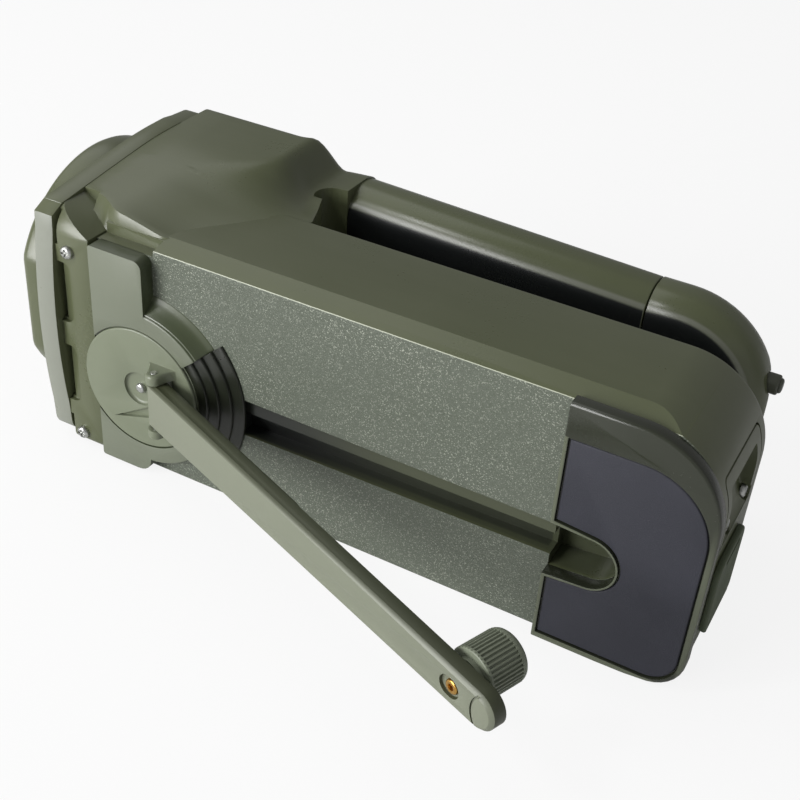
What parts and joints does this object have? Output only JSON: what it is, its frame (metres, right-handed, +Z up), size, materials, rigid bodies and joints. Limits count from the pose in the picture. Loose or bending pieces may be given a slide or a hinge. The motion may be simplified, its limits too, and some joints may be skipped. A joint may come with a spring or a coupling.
{
  "type": "hand crank searchlight",
  "caption": "Olive plastic searchlight lying on its side, with a folding hand crank that turns a geared generator, a square front flange with a round lens, and a closed loop carrying handle.",
  "frame": {"origin": "on the face that the main bar rests on, under the crank hub's axis and in the main bar's middle plane", "axes": "+X to the tail (the beam leaves along -X), +Y to the carrying handle (the crank faces -Y), +Z up"},
  "size_m": [0.3218, 0.2211, 0.13],
  "materials": {
    "olive_plastic": "fine spark texture, satin",
    "dark_plastic": "satin",
    "black_plastic": "satin",
    "slate_rubber": "matte",
    "black_rubber": "matte",
    "green_rubber": "matte",
    "clear_lens": "polished",
    "mirror": "metallised",
    "board": "solder mask",
    "aluminium": "anodised",
    "steel": "bright",
    "brass": "bright",
    "cell_wrap": "wrapped"
  },
  "bodies": {
    "lamp": {"body_shell": "olive_plastic", "stow_tray": "olive_plastic", "body_back": "olive_plastic", "head_shell": "olive_plastic", "front_flange": "olive_plastic", "lens_ring": "dark_plastic", "lens": "clear_lens", "lens_gasket": "black_rubber", "reflector": "mirror", "lamp_module": "board", "heat_sink": "aluminium", "head_screws": "steel", "gear_cover": "olive_plastic", "cover_screws": "steel", "hub_bushing": "brass", "gear_plate": "steel", "idler_axle": "steel", "generator_can": "steel", "generator_bearing": "brass", "battery_cells": "cell_wrap", "battery_cradle": "black_plastic", "control_board": "board", "pad_block": "olive_plastic", "rubber_pad": "slate_rubber", "battery_door": "olive_plastic", "door_screws": "steel", "charge_socket": "black_plastic", "handle_bar": "olive_plastic", "tail_loop": "olive_plastic", "switch_body": "black_plastic"},
    "crank": {"crank_hub": "olive_plastic", "crank_gear": "brass", "hub_screw": "steel", "fold_pin": "steel"},
    "arm": {"crank_arm": "olive_plastic", "knob_screw": "brass"},
    "knob": {"crank_knob": "dark_plastic"},
    "idler": {"idler_gear": "brass"},
    "rotor": {"generator_rotor": "steel"},
    "button": {"power_button": "green_rubber"},
    "flap": {"port_flap": "green_rubber"}
  },
  "joints": [
    {"name": "crank_spin", "type": "hinge", "parent": "lamp", "child": "crank", "pos_m": [0, -0.038, 0.0465], "axis": [0, -1, 0], "continuous": true},
    {"name": "arm_fold", "type": "hinge", "parent": "crank", "child": "arm", "pos_m": [0.013, -0.042, 0.0465], "axis": [0, 0, -1], "range_deg": [-22, 140]},
    {"name": "knob_spin", "type": "hinge", "parent": "arm", "child": "knob", "pos_m": [0.19534, -0.11125, 0.0465], "axis": [0.3746, 0.9272, 0], "continuous": true},
    {"name": "idler_spin", "type": "hinge", "parent": "lamp", "child": "idler", "pos_m": [0.0303, -0.02, 0.0465], "axis": [0, -1, 0], "continuous": true},
    {"name": "rotor_spin", "type": "hinge", "parent": "lamp", "child": "rotor", "pos_m": [0.0586, 0, 0.0465], "axis": [0, -1, 0], "continuous": true},
    {"name": "button_press", "type": "slide", "parent": "lamp", "child": "button", "axis": [-1, 0, 0], "range_m": [0, 0.0025], "stiffness_N_per_m": 400},
    {"name": "flap_open", "type": "hinge", "parent": "lamp", "child": "flap", "pos_m": [0.25455, -0.004, 0.022], "axis": [0, 1, 0], "range_deg": [0, 95]}
  ],
  "couplings": [
    {"joint": "idler_spin", "follows": "crank_spin", "ratio": -2.75},
    {"joint": "rotor_spin", "follows": "crank_spin", "ratio": 6.875}
  ]
}
